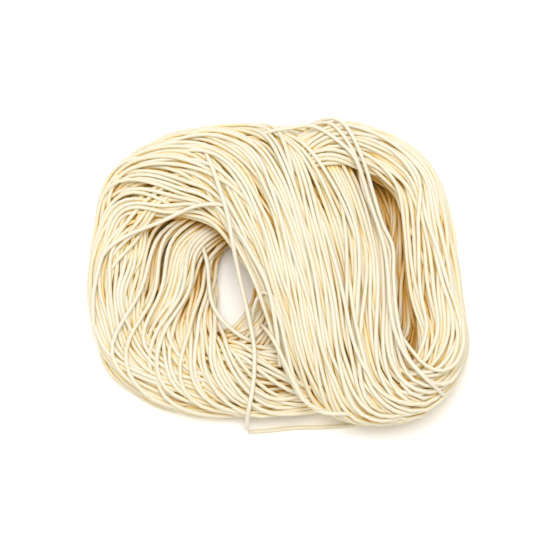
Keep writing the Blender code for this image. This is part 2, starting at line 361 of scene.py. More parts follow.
class StageSettings(bpy.types.PropertyGroup):
    """Floor, light and camera."""

    floor: FloatVectorProperty(
        name="Floor",
        description="Colour of the plain floor",
        default=(0.97, 0.97, 0.97),
        subtype="COLOR",
        size=3,
        min=0.0,
        max=1.0,
    )
    sky: FloatProperty(
        name="Room Light",
        description="Strength of the even light from all round",
        default=0.75,
        min=0.0,
    )
    key_power: FloatProperty(
        name="Key Light",
        description="Power of the soft light above and behind the bundle",
        default=4.2,
        min=0.0,
        unit="POWER",
    )
    elevation: FloatProperty(
        name="Camera Elevation",
        description="How steeply the camera looks down on the bundle",
        default=math.radians(71),
        unit="ROTATION",
    )
    view_width: FloatProperty(
        name="View Width",
        description="Width of what the camera sees at the bundle",
        default=159.9 * MM,
        unit="LENGTH",
    )
    lens: FloatProperty(
        name="Focal Length",
        description="Focal length of the camera",
        default=120.0,
        unit="CAMERA",
    )


# Lays and the strands wound along them


def smooth_between(a, b, c, d, f):
    """The smooth curve from b to c at f, from 0 to 1, where a comes before them and d after."""
    bend = 2 * a - 5 * b + 4 * c - d
    twist = 3 * b - a - 3 * c + d
    return 0.5 * (2 * b + (c - a) * f + bend * f**2 + twist * f**3)


def across(points, u):
    """The point at u, from -1 to 1, of the smooth line through evenly spaced points."""
    places = np.linspace(-1, 1, len(points))
    total = 0
    for i, point in enumerate(points):
        weight = 1.0
        for j, other in enumerate(places):
            if j != i:
                weight = weight * (u - other) / (places[i] - other)
        total = total + weight * point
    return total


def corners(rows):
    """The four points across a lay, at each row."""
    return [rows[:, 3 * i : 3 * i + 3] for i in range(4)]


def lay_rows(lay, count):
    """Rows at even steps round a lay: four points across it, half thickness, roll, direction.
    Also gives the lay's length along its middle."""
    data = []
    for points, half_thickness, roll in lay:
        known = [np.array(point, dtype=float) for point in points]
        edge_to_edge = [across(known, u) for u in (-1, -1 / 3, 1 / 3, 1)]
        data.append(np.concatenate([*edge_to_edge, [half_thickness, math.radians(roll)]]))
    data = np.array(data)
    _, left, right, _ = corners(data)
    middle = (left + right) / 2
    chord = np.linalg.norm(np.roll(middle, -1, axis=0) - middle, axis=1)
    knot = np.concatenate([[0], np.cumsum(chord)])
    before, after = np.roll(chord, 1)[:, None], chord[:, None]
    arriving = (data - np.roll(data, 1, axis=0)) / before
    leaving = (np.roll(data, -1, axis=0) - data) / after
    slope = (leaving * before + arriving * after) / (before + after)

    def at(place):
        """Rows at places along the lay."""
        k = np.clip(np.searchsorted(knot, place, side="right") - 1, 0, len(data) - 1)
        f = ((place - knot[k]) / chord[k])[:, None]
        span, onward = after[k], (k + 1) % len(data)
        return (
            data[k] * (2 * f**3 - 3 * f**2 + 1)
            + slope[k] * span * (f**3 - 2 * f**2 + f)
            + data[onward] * (3 * f**2 - 2 * f**3)
            + slope[onward] * span * (f**3 - f**2)
        )

    fine = np.linspace(0, knot[-1], FINE_ROWS, endpoint=False)
    line = across(corners(at(fine)), 0.0)
    steps = np.linalg.norm(np.roll(line, -1, axis=0) - line, axis=1)
    travelled = np.concatenate([[0], np.cumsum(steps)])
    even = np.interp(np.arange(count) / count * travelled[-1], travelled, np.append(fine, knot[-1]))
    rows = at(even)
    line = across(corners(rows), 0.0)
    direction = np.roll(line, -1, axis=0) - np.roll(line, 1, axis=0)
    direction /= np.linalg.norm(direction, axis=1, keepdims=True)
    return np.hstack([rows, direction]), travelled[-1]


def in_section(rows, u, v):
    """Points at u across the lay and v through its thickness, both from -1 to 1."""
    points, direction = corners(rows), rows[:, DIRECTION]
    u, v = u[:, None], v[:, None]
    sideways = across(points, u + ACROSS_STEP) - across(points, u - ACROSS_STEP)
    outward = np.cross(direction, sideways)
    outward /= np.linalg.norm(outward, axis=1, keepdims=True)
    outward *= np.sign(np.cross(direction, points[3] - points[0])[:, 2:])
    return across(points, u) + outward * v * rows[:, HALF_THICKNESS, None]


def slow_noise(rng, count, every):
    """Smooth random values, with one new target every so many points."""
    targets = rng.normal(size=NOISE_TARGETS)
    place = np.arange(count) / every + rng.random()
    k = place.astype(int)
    f = place - k
    return smooth_between(*(targets[k + i] for i in range(4)), f)


def places_in_disc(count):
    """Even places in a disc."""
    n = np.arange(count)
    radius, angle = np.sqrt((n + 0.5) / count), n * math.pi * (3 - math.sqrt(5))
    return np.stack([radius * np.cos(angle), radius * np.sin(angle)], axis=1)


def rolled(places, angle):
    """Places in a disc turned about its middle."""
    u, v = places.T
    return np.stack([u * np.cos(angle) + v * np.sin(angle), v * np.cos(angle) - u * np.sin(angle)], axis=1)


def into_corners(places):
    """Places in a disc drawn out into the corners of a section."""
    radius = np.linalg.norm(places, axis=1) + 1e-9
    return places * (radius / (np.abs(places).max(axis=1) + 1e-9))[:, None] ** CORNER_PULL


def nearest_order(places):
    """The places in an order where each is followed by the nearest one left."""
    left = list(range(1, len(places)))
    order = [0]
    while left:
        apart = np.linalg.norm(places[left] - places[order[-1]], axis=1)
        order.append(left.pop(int(np.argmin(apart))))
    return places[order]


def turned_back(places):
    """Places beyond the edge of a section are mirrored back into it, in smooth turns."""
    reach = (np.abs(places) ** EDGE_SHAPE).sum(axis=1) ** (1 / EDGE_SHAPE)
    inside = np.where(reach > EDGE, (2 * EDGE - reach) / np.maximum(reach, EDGE), 1.0)[:, None] * places
    window = np.hanning(2 * EDGE_SOFTENING + 1)
    window /= window.sum()
    padded = np.pad(inside, ((EDGE_SOFTENING, EDGE_SOFTENING), (0, 0)), mode="edge")
    return np.stack([np.convolve(padded[:, i], window, mode="valid") for i in range(2)], axis=1)


class Drift:
    """A smooth random drift round a lay, alike for strands that are wound close together."""

    def __init__(self, rng):
        self.round = rng.integers(-DRIFT_ROUND, DRIFT_ROUND + 1, DRIFT_WAVES) * 2 * math.pi
        self.sideways = rng.normal(0, DRIFT_ACROSS, DRIFT_WAVES)
        self.deep = rng.normal(0, DRIFT_DEEP, DRIFT_WAVES)
        self.start = rng.uniform(0, 2 * math.pi, DRIFT_WAVES)

    def at(self, turn, place):
        """The drift of strands at places in the section, so many turns along the lay."""
        total = 0.0
        for i in range(DRIFT_WAVES):
            wave = self.round[i] * turn + self.sideways[i] * place[:, 0] + self.deep[i] * place[:, 1]
            total = total + np.cos(wave + self.start[i])
        return total * math.sqrt(2 / DRIFT_WAVES)


def wound(lay, strands, turns, wander, rng):
    """Paths of strands that each make so many turns along a lay, in a new place each turn."""
    length = lay_rows(lay, 2)[1]
    per_turn = round(length / POINT_STEP)
    rows = lay_rows(lay, per_turn)[0]
    edge, *_, far_edge = corners(rows)
    half_width = np.linalg.norm(far_edge - edge, axis=1) / 2
    half_size = np.stack([half_width, rows[:, HALF_THICKNESS]], axis=1)
    roll = np.concatenate([[0], np.cumsum(rows[:, ROLL]) * length / per_turn])
    places = rng.permutation(places_in_disc(strands * turns)).reshape(strands, turns, 2)
    count = per_turn * turns
    turn = np.arange(count) / per_turn
    this = turn.astype(int)
    onward = np.minimum(this + 1, turns - 1)
    blend = (turn - this)[:, None]
    blend = blend**2 * (3 - 2 * blend)
    sideways, deep = Drift(rng), Drift(rng)
    paths = []
    for own in places:
        own = nearest_order(own)
        start = int(rng.random() * per_turn)
        laid_at = own[this] * (1 - blend) + own[onward] * blend
        at_row = np.arange(start, start + count)
        angle = roll[at_row % per_turn] + roll[-1] * (at_row // per_turn)
        place = into_corners(rolled(laid_at, angle))
        drift = np.stack([way.at(at_row / per_turn, place) for way in (sideways, deep)], axis=1)
        stray = np.stack([slow_noise(rng, count, WANDER_EVERY) for _ in range(2)], axis=1)
        waves = np.stack([slow_noise(rng, count, SHORT_EVERY) for _ in range(2)], axis=1)
        stray = drift + OWN_WANDER * stray + SHORT_WANDER * waves
        shift = stray * (wander, wander * DEEP_WANDER) / half_size[at_row % per_turn]
        to_end = np.minimum(np.arange(count), count - 1 - np.arange(count)) / END_LENGTH
        inwards = np.clip(to_end, END_PLACE, 1)[:, None]
        place = turned_back((place + shift) * inwards)
        paths.append(in_section(rows[at_row % per_turn], place[:, 0], place[:, 1]))
    return paths


# Settling


class Strands:
    """The points of many open strands in one array."""

    def __init__(self, paths):
        sizes = np.array([len(path) for path in paths])
        self.points = np.concatenate(paths)
        self.last = np.cumsum(sizes) - 1
        self.first = self.last + 1 - sizes
        self.strand = np.repeat(np.arange(len(paths)), sizes)
        self.number = np.arange(len(self.points)) - self.first[self.strand]

    def evened(self, values):
        """Each value drawn towards its neighbours along the strand, with the ends kept."""
        result = values.copy()
        result[1:-1] = (values[:-2] + 2 * values[1:-1] + values[2:]) / 4
        result[self.first], result[self.last] = values[self.first], values[self.last]
        return result

    def directions(self):
        """The direction of its strand at each point."""
        result = np.empty_like(self.points)
        result[1:-1] = self.points[2:] - self.points[:-2]
        result[self.first] = self.points[self.first + 1] - self.points[self.first]
        result[self.last] = self.points[self.last] - self.points[self.last - 1]
        return unit(result)

    def dense(self):
        """The points and the places halfway between them."""
        halfway = (self.points[1:] + self.points[:-1])[np.diff(self.strand) == 0] / 2
        return np.concatenate([self.points, halfway])

    def paths(self):
        """The points of each strand."""
        return [self.points[a : b + 1] for a, b in zip(self.first, self.last)]

    def neighbours(self):
        """Pairs of near points, found cell by cell, apart from points close by on one strand."""
        cell = ((self.points - self.points.min(axis=0)) / NEAR).astype(np.int64) + 1
        wide, deep, high = (int(n) + 2 for n in cell.max(axis=0))
        key = (cell[:, 2] * deep + cell[:, 1]) * wide + cell[:, 0]
        order = np.argsort(key, kind="stable")
        key, points = key[order], self.points[order]
        start = np.searchsorted(key, np.arange(wide * deep * high + 2))
        own = np.arange(len(key))
        firsts, seconds = [], []
        for up, over in ROWS_ONWARD:
            shift = (up * deep + over) * wide
            begin, end = start[key + shift - 1], start[key + shift + 2]
            if not shift:
                begin, end = own + 1, np.maximum(end, own + 1)
            count = end - begin
            a = np.repeat(own, count)
            b = np.arange(count.sum()) + np.repeat(begin - np.cumsum(count) + count, count)
            near = np.square(points[a] - points[b]).sum(axis=1) < NEAR**2
            firsts.append(order[a[near]])
            seconds.append(order[b[near]])
        a, b = np.concatenate(firsts), np.concatenate(seconds)
        far_along = abs(self.number[a] - self.number[b]) > SAME_STRAND_GAP
        apart = (self.strand[a] != self.strand[b]) | far_along
        return a[apart], b[apart]


def unit(vectors):
    """Rows of vectors, each made one long."""
    return vectors / (np.linalg.norm(vectors, axis=1, keepdims=True) + 1e-12)


def dot(a, b):
    """The dot product of each row of a with that of b."""
    return np.einsum("ij,ij->i", a, b)


def pushes(strands, a, b, diameter):
    """How far each point moves so that overlapping strands lie side by side."""
    points, direction = strands.points, strands.directions()
    reach = points[b] - points[a]
    alike = dot(direction[a], direction[b])
    shared = unit(direction[a] + np.sign(alike)[:, None] * direction[b])
    along = dot(reach, shared)
    side = reach - (alike**2 * along)[:, None] * shared
    distance = np.linalg.norm(side, axis=1) + 1e-9
    touch = (distance < diameter) & (np.abs(along) < TOUCH_LENGTH * POINT_STEP)
    a, b, side, distance = a[touch], b[touch], side[touch], distance[touch]
    push = side / distance[:, None] * ((diameter - distance) / 2)[:, None]
    count = len(points)
    shared_by = np.bincount(a, minlength=count) + np.bincount(b, minlength=count)
    moves = [np.bincount(b, push[:, i], count) - np.bincount(a, push[:, i], count) for i in range(3)]
    return np.stack(moves, axis=1) * (PUSH / np.maximum(shared_by, 1) ** PUSH_SHARING)[:, None]


def settle(strands, diameter, rounds, drop, hold):
    """Parts overlapping strands while they sink and stay near where they were wound."""
    wound_at = strands.points.copy()
    for step in range(rounds):
        if step % SETTLE_REBUILD == 0:
            a, b = strands.neighbours()
        calm = step >= rounds - SETTLE_CALM
        moved = strands.points + pushes(strands, a, b, diameter)
        if not calm:
            moved[:, 2] -= drop
        offset = moved - wound_at
        if not calm:
            offset *= 1 - hold
        for _ in range(CALM_STIFFNESS if calm else STIFFNESS):
            offset = strands.evened(offset)
        strands.points = wound_at + offset
        strands.points[:, 2] = np.maximum(strands.points[:, 2], FLOOR_RISE * diameter)


class Fullness:
    """How full of strands the space is, and how much light comes in, on a grid of cells."""

    def __init__(self, strands, diameter):
        spots = strands.dense()
        self.low = spots.min(axis=0) - SHELTER_MARGIN * SHELTER_CELL
        size = ((spots.max(axis=0) - self.low) / SHELTER_CELL).astype(int) + SHELTER_MARGIN + 1
        cell = ((spots - self.low) / SHELTER_CELL).astype(int)
        count = np.zeros(size)
        np.add.at(count, tuple(cell.T), 1)
        share = math.pi * diameter**2 / 4 * POINT_STEP / 2 / SHELTER_CELL**3
        for axis in range(3):
            count = (np.roll(count, 1, axis) + count + np.roll(count, -1, axis)) / 3
        self.grid = np.minimum(count * share, 1)

        self.light = np.zeros(size)
        for axis in range(3):
            for way in (1, -1):
                light = np.moveaxis(self.light, axis, 2)[:, :, ::way]
                swept = self.daylight(np.moveaxis(self.grid, axis, 2)[:, :, ::way])
                np.maximum(light, swept, out=light)

    def daylight(self, grid):
        """The light that comes through a grid from the far end of its last axis."""
        light = np.ones(grid.shape)
        shifts = range(-LIGHT_SPREAD, LIGHT_SPREAD + 1)
        for layer in range(grid.shape[2] - 2, -1, -1):
            before = light[:, :, layer + 1] * np.exp(-LIGHT_LOSS * grid[:, :, layer + 1])
            for axis in range(2):
                before = sum(np.roll(before, shift, axis) for shift in shifts) / len(shifts)
            light[:, :, layer] = before
        return light

    def at(self, grid, points):
        """What a grid holds at each point."""
        cell = ((points - self.low) / SHELTER_CELL).astype(int)
        cell = np.clip(cell, 0, np.array(grid.shape) - 1)
        return grid[tuple(cell.T)]

    def shelter(self, points, outward):
        """How much of what is in front of each point is taken up by strands, from 0 to 1."""
        passed = total = 0.0
        for reach in SHELTER_REACH:
            total = total + self.at(self.grid, points + outward * reach) * (reach - passed)
            passed = reach
        return 1 - np.exp(-SHELTER_STRENGTH * total)

    def depth(self, points, outward):
        """How little light comes to each point, from 0 to 1."""
        return 1 - self.at(self.light, points + outward * SHELTER_CELL)


# Loose strands


def smooth_route(points):
    """A smooth line through the points of a route, at even steps."""
    known = np.array(points, dtype=float)
    known = np.concatenate([2 * known[:1] - known[1:2], known, 2 * known[-1:] - known[-2:-1]])
    f = np.linspace(0, 1, ROUTE_STEPS, endpoint=False)[:, None]
    stretches = zip(known[:-3], known[1:-2], known[2:-1], known[3:])
    line = np.concatenate([*(smooth_between(*stretch, f) for stretch in stretches), known[-2:-1]])
    travelled = np.concatenate([[0], np.cumsum(np.linalg.norm(np.diff(line, axis=0), axis=1))])
    place = np.linspace(0, travelled[-1], max(round(travelled[-1] / POINT_STEP), FEWEST_POINTS))
    return np.stack([np.interp(place, travelled, line[:, i]) for i in range(2)], axis=1)


def draped(route, heap, diameter, tucked):
    """The path of a stiff strand laid along a route on top of a heap of points. Its start dives
    between the others, and its end too where it is tucked."""
    line = smooth_route(route)
    reach = heap[:, :2].T[:, :, None] - line.T[:, None, :]
    apart = np.minimum(np.square(reach).sum(axis=0), diameter**2)
    on_top = np.where(apart < diameter**2, heap[:, 2:] + np.sqrt(diameter**2 - apart), 0)
    rest = np.maximum(on_top.max(axis=0), diameter / 2)
    height = rest.copy()
    for _ in range(DRAPE_ROUNDS):
        evened = height.copy()
        evened[1:-1] = (height[:-2] + 2 * height[1:-1] + height[2:]) / 4
        height = np.maximum(rest, evened - DRAPE_SAG)
    place = np.arange(len(line)) * POINT_STEP
    to_end = np.minimum(place, place[::-1]) if tucked else place
    height -= TUCK_DEPTH * np.clip(1 - to_end / TUCK_LENGTH, 0, 1) ** 2
    return np.column_stack([line, np.maximum(height, FLOOR_RISE * diameter)])


# Core


def near_cells(values, reach, choose):
    """For each cell of a grid, what choose picks of its neighbours within a square."""
    shifts = range(-reach, reach + 1)
    for axis in range(2):
        values = choose([np.roll(values, shift, axis) for shift in shifts], axis=0)
    return values


def core_body(heap):
    """Points and faces of one closed body deep inside a heap of points."""
    edge = CORE_INSET + 2
    low = heap[:, :2].min(axis=0) - edge * CORE_CELL
    size = ((heap[:, :2].max(axis=0) - low) / CORE_CELL).astype(int) + edge
    cell = ((heap[:, :2] - low) / CORE_CELL).astype(int)
    top, bottom = np.zeros(size), np.full(size, heap[:, 2].max())
    np.maximum.at(top, tuple(cell.T), heap[:, 2])
    np.minimum.at(bottom, tuple(cell.T), heap[:, 2])
    top = near_cells(near_cells(top, CORE_INSET, np.min), 1, np.mean) - CORE_COVER
    bottom = near_cells(near_cells(bottom, CORE_INSET, np.max), 1, np.mean) + CORE_COVER
    solid = top > bottom + CORE_THINNEST
    number, points, faces = {}, [], []

    def corner(i, j, upper):
        """The number of the point at a corner of the cells, on the upper or the lower side."""
        if (i, j, upper) not in number:
            side = top if upper else bottom
            near = [side[a, b] for a in (i - 1, i) for b in (j - 1, j) if solid[a, b]]
            number[i, j, upper] = len(points)
            points.append((*(low + CORE_CELL * np.array((i, j))), np.mean(near)))
        return number[i, j, upper]

    for i, j in zip(*np.nonzero(solid)):
        around = ((i, j), (i + 1, j), (i + 1, j + 1), (i, j + 1))
        faces.append([corner(*spot, True) for spot in around])
        faces.append([corner(*spot, False) for spot in around[::-1]])
        for k, (di, dj) in enumerate(((0, -1), (1, 0), (0, 1), (-1, 0))):
            if not solid[i + di, j + dj]:
                a, b = around[k], around[(k + 1) % 4]
                faces.append([corner(*b, True), corner(*a, True), corner(*a, False), corner(*b, False)])
    return np.array(points), faces


# Meshes

settled = {}  # what the winding leaves for the other pieces and the camera


def from_winding(name):
    """One of the things that the winding leaves."""
    if name not in settled:
        raise RuntimeError("The strands have to be wound first")
    return settled[name]


def plain_mesh(name, points, edges=(), faces=()):
    """A mesh of the points, edges and faces."""
    mesh = bpy.data.meshes.new(name)
    mesh.from_pydata(points, edges, faces)
    mesh.update()
    return mesh


def put_attribute(mesh, name, values):
    """Gives each point of a mesh a value."""
    added = mesh.attributes.new(name, "FLOAT", "POINT")
    added.data.foreach_set("value", np.asarray(values, dtype=np.float32))


def attribute(mesh, name):
    """The value of each point of a mesh."""
    found = mesh.attributes[name].data
    values = np.empty(len(found), dtype=np.float32)
    found.foreach_get("value", values)
    return values


def placed(name, data):
    """An object at the origin that holds a mesh, a light or a camera."""
    holder = bpy.data.objects.new(name, data)
    bpy.context.scene.collection.objects.link(holder)
    return holder


def strand_tree():
    """Geometry Nodes: paths in, strands with closed ends out."""
    found = bpy.data.node_groups.get("Strands from Paths")
    if found:
        return found
    tree = bpy.data.node_groups.new("Strands from Paths", "GeometryNodeTree")
    face = tree.interface
    face.new_socket("Paths", in_out="INPUT", socket_type="NodeSocketGeometry")
    face.new_socket("Diameter", in_out="INPUT", socket_type="NodeSocketFloat")
    face.new_socket("Sides", in_out="INPUT", socket_type="NodeSocketInt")
    face.new_socket("Dough", in_out="INPUT", socket_type="NodeSocketMaterial")
    face.new_socket("Strands", in_out="OUTPUT", socket_type="NodeSocketGeometry")

    def node(kind, settings=None, **inputs):
        """Adds a geometry node and gives its first output."""
        made = tree.nodes.new("GeometryNode" + kind)
        for key, value in (settings or {}).items():
            setattr(made, key, value)
        for key, value in inputs.items():
            socket = made.inputs[key.replace("_", " ")]
            if isinstance(value, bpy.types.NodeSocket):
                tree.links.new(value, socket)
            else:
                socket.default_value = value
        return made.outputs[0]

    given = tree.nodes.new("NodeGroupInput").outputs
    radius = tree.nodes.new("ShaderNodeMath")
    radius.operation = "MULTIPLY"
    tree.links.new(given["Diameter"], radius.inputs[0])
    radius.inputs[1].default_value = 0.5
    curve = node("MeshToCurve", Mesh=given["Paths"])
    outline = node("CurvePrimitiveCircle", Resolution=given["Sides"], Radius=radius.outputs[0])
    outline = node(
        "StoreNamedAttribute",
        {"data_type": "FLOAT", "domain": "POINT"},
        Geometry=outline,
        Name="around",
        Value=node("InputIndex"),
    )
    thickness = node("InputNamedAttribute", {"data_type": "FLOAT"}, Name="thickness")
    mesh = node("CurveToMesh", Curve=curve, Profile_Curve=outline, Scale=thickness, Fill_Caps=True)
    mesh = node("SetShadeSmooth", Geometry=mesh)
    mesh = node("RealizeInstances", Geometry=mesh)
    mesh = node("SetMaterial", Geometry=mesh, Material=given["Dough"])
    tree.links.new(mesh, tree.nodes.new("NodeGroupOutput").inputs["Strands"])
    return tree


def set_input(modifier, name, value):
    """Sets a named input of a Geometry Nodes modifier by its socket's identifier."""
    for item in modifier.node_group.interface.items_tree:
        if item.item_type == "SOCKET" and item.in_out == "INPUT" and item.name == name:
            modifier[item.identifier] = value
            return
    raise ValueError(f"the tree has no input {name}")


def map_strands(mesh, sides):
    """A UV map with one strip for each turn of strand: along it in u, round it in v."""
    row, part, around = (attribute(mesh, name) for name in ("row", "part", "around"))
    loops = np.empty(len(mesh.loops), dtype=np.int64)
    mesh.loops.foreach_get("vertex_index", loops)
    start = np.empty(len(mesh.polygons), dtype=np.int64)
    total = np.empty(len(mesh.polygons), dtype=np.int64)
    mesh.polygons.foreach_get("loop_start", start)
    mesh.polygons.foreach_get("loop_total", total)
    face = np.repeat(np.arange(len(start)), total)
    lowest = np.minimum.reduceat(row[loops], start)[face]
    u = part[loops] + (row[loops] - lowest)
    side = around[loops]
    wraps = (np.maximum.reduceat(side, start) - np.minimum.reduceat(side, start))[face] > sides / 2
    side = np.where(wraps & (side < 0.5) & (total[face] == 4), side + sides, side)
    v = (lowest + PATCH_MARGIN + side / sides * (1 - 2 * PATCH_MARGIN)) / (row.max() + 1)
    flat = np.empty(2 * len(loops), dtype=np.float32)
    flat[0::2], flat[1::2] = u / (u.max() + PATCH_REST) + PATCH_START, v
    mesh.uv_layers.new(name="OFBake").uv.foreach_set("vector", flat)


def vectors(collection, key):
    """A vector of each item of a mesh's collection, in rows."""
    values = np.empty(3 * len(collection), dtype=np.float32)
    collection.foreach_get(key, values)
    return values.reshape(-1, 3)


def rides_on_root(piece):
    """Puts a piece on the body and in place of the solid."""
    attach(piece, BODY)
    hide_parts(NODE)


def strand_piece(name, paths, sizes, rng, turn_points, inside=1.0):
    """One piece of many strands, from their paths in millimetres. Turn points are the points of a
    path in one row of the UV map. Inside is how far the strands take the painted deep shade
    with their depth, from 0 to 1."""
    fullness = from_winding("fullness")
    points, edges, thickness, tone, row, part, skin = ([] for _ in range(7))
    rows_used = base = 0
    for path in paths:
        path = path[::POINTS_PER_RING]
        count = len(path)
        points.append(path * MM)
        edges.append(np.stack([np.arange(count - 1), np.arange(1, count)], axis=1) + base)
        own = rng.normal(1.0, OWN_THICKNESS)
        thickness.append(own + THICKNESS_CHANGE * slow_noise(rng, count, THICKNESS_EVERY))
        tone.append(rng.random() + TONE_CHANGE * slow_noise(rng, count, TONE_EVERY))
        turn = np.arange(count) / (turn_points / POINTS_PER_RING)
        row.append(rows_used + turn.astype(int))
        part.append(turn - turn.astype(int))
        skin.append(np.pad(np.ones(count - 2), 1))
        rows_used += int(turn[-1]) + 1
        base += count
    mesh = plain_mesh(name, np.concatenate(points), np.concatenate(edges))
    tone = [np.clip(values, 0, 1) for values in tone]
    kept = {"thickness": thickness, "tone": tone, "row": row, "part": part, "skin": skin}
    for key, values in kept.items():
        put_attribute(mesh, key, np.concatenate(values))
    holder = placed(name, mesh)
    modifier = holder.modifiers.new("Strands", "NODES")
    modifier.node_group = strand_tree()
    set_input(modifier, "Diameter", sizes.strand_diameter)
    set_input(modifier, "Sides", sizes.strand_sides)
    set_input(modifier, "Dough", from_winding("dough"))
    evaluated = holder.evaluated_get(bpy.context.evaluated_depsgraph_get())
    result = bpy.data.meshes.new_from_object(evaluated)
    bpy.data.objects.remove(holder, do_unlink=True)
    result.name = name
    map_strands(result, sizes.strand_sides)
    points = vectors(result.vertices, "co") / MM
    outward = vectors(result.vertex_normals, "vector")
    # Shelter, from the strands in front and from sides that face level or down, and depth, from the light
    # that comes in, say where the painted shade goes
    underside = UNDERSIDE_SHELTER * (1 - outward[:, 2]) * attribute(result, "skin")
    put_attribute(result, "shelter", np.maximum(fullness.shelter(points, outward), underside))
    put_attribute(result, "depth", inside * fullness.depth(points, outward))
    rides_on_root(placed(name, result))


# Materials


class Wire:
    """One socket of a material's tree. Arithmetic on it adds Math nodes."""

    def __init__(self, recipe, socket):
        self.recipe, self.socket = recipe, socket

    def maths(self, operation, left, right):
        """Adds one Math node."""
        return self.recipe.node("ShaderNodeMath", {"operation": operation}, {0: left, 1: right})

    def __add__(self, other):
        return self.maths("ADD", self, other)

    def __radd__(self, other):
        return self.maths("ADD", other, self)

    def __sub__(self, other):
        return self.maths("SUBTRACT", self, other)

    def __rsub__(self, other):
        return self.maths("SUBTRACT", other, self)

    def __mul__(self, other):
        return self.maths("MULTIPLY", self, other)

    def __rmul__(self, other):
        return self.maths("MULTIPLY", other, self)


class Recipe:
    """The shader tree of one material."""

    def __init__(self, name):
        self.material = bpy.data.materials.new(name)
        self.material.use_nodes = True
        self.nodes = self.material.node_tree.nodes
        self.links = self.material.node_tree.links
        self.surface = self.nodes["Principled BSDF"]

    def node(self, kind, settings=None, inputs=None, output=0):
        """Adds a node: its settings first, then the values or links of its sockets."""
        made = self.nodes.new(kind)
        for key, value in (settings or {}).items():
            setattr(made, key, value)
        for key, value in (inputs or {}).items():
            self.feed(made.inputs[key], value)
        return Wire(self, made.outputs[output])

    def feed(self, socket, value):
        """Links a wire to a socket, or sets its value."""
        if isinstance(value, Wire):
            self.links.new(value.socket, socket)
        else:
            socket.default_value = value

    def shade(self, **inputs):
        """Feeds the sockets of the surface."""
        for key, value in inputs.items():
            self.feed(self.surface.inputs[key.replace("_", " ")], value)

    def noise(self, scale, detail):
        """Noise over the place in the object."""
        place = self.node("ShaderNodeTexCoord", output=OBJECT_PLACE)
        inputs = {"Vector": place, "Scale": scale, "Detail": detail}
        return self.node("ShaderNodeTexNoise", {"noise_dimensions": "3D"}, inputs)

    def value(self, name):
        """The piece's own attribute of this name."""
        return self.node("ShaderNodeAttribute", {"attribute_name": name}, output=ONE_NUMBER)

    def blend(self, factor, a, b):
        """The colour a where the factor is 0, and b where it is 1."""
        a, b = ((*colour, 1.0) if isinstance(colour, tuple) else colour for colour in (a, b))
        settings = {"data_type": "RGBA", "clamp_factor": True}
        inputs = {MIX_FACTOR: factor, MIX_A: a, MIX_B: b}
        return self.node("ShaderNodeMix", settings, inputs, output=MIX_RESULT)


def dried_dough(colours):
    """Cream dough in a tone for each strand, with flour and a fine grain on it. Painted shade makes
    it golden on the strands' flanks and in the gaps between them, and brown deep inside."""
    recipe = Recipe("dried_dough")
    tone, shelter, depth = (recipe.value(name) for name in ("tone", "shelter", "depth"))
    flour = recipe.noise(FLOUR_SCALE, FLOUR_DETAIL)
    grain = recipe.noise(GRAIN_SCALE, GRAIN_DETAIL)
    floury = tone * PALE_BY_TONE + flour * PALE_BY_FLOUR - PALE_FROM
    # Painted shade: golden on the flanks and in the gaps, by shelter and depth
    painted_side_shade = shelter * SIDE_SHADE_BY_SHELTER + depth * SIDE_SHADE_BY_DEPTH - SIDE_SHADE_FROM
    colour = recipe.blend(floury, tuple(colours.deep), tuple(colours.pale))
    colour = recipe.blend(painted_side_shade, colour, tuple(colours.side))
    # Painted shade: dark brown deep inside the bundle, by depth
    colour = recipe.blend(depth * DEEP_SHADE_BY_DEPTH - DEEP_SHADE_FROM, colour, tuple(colours.inner))
    height = grain + flour * BUMP_BY_FLOUR
    bumps = {"Strength": BUMP_STRENGTH, "Distance": BUMP_HEIGHT, "Height": height}
    recipe.shade(
        Base_Color=colour,
        Roughness=SMOOTHEST + flour * FLOURY_ROUGHNESS,
        Normal=recipe.node("ShaderNodeBump", inputs=bumps),
        IOR=1.45,
        Specular_IOR_Level=0.25,
        Subsurface_Weight=0.35,
        Subsurface_Radius=GLOW_BY_COLOUR,
        Subsurface_Scale=GLOW_REACH,
    )
    return recipe.material


def inner_dough(colours):
    """The hidden core, in the painted deep shade of the buried strands."""
    recipe = Recipe("inner_dough")
    # Painted shade: the core is dark brown so that it reads as deep shade where it shows between the strands
    recipe.shade(Base_Color=(*colours.inner, 1.0), Roughness=CORE_ROUGHNESS)
    return recipe.material


def pale_floor(stage):
    """A plain floor with faint soft patches."""
    recipe = Recipe("stage_floor")
    patches = recipe.noise(FLOOR_SCALE, FLOOR_DETAIL)
    shade = tuple(FLOOR_SHADE * part for part in stage.floor)
    colour = recipe.blend(patches, tuple(stage.floor), shade)
    recipe.shade(Base_Color=colour, Roughness=FLOOR_ROUGHNESS)
    return recipe.material


# Operators


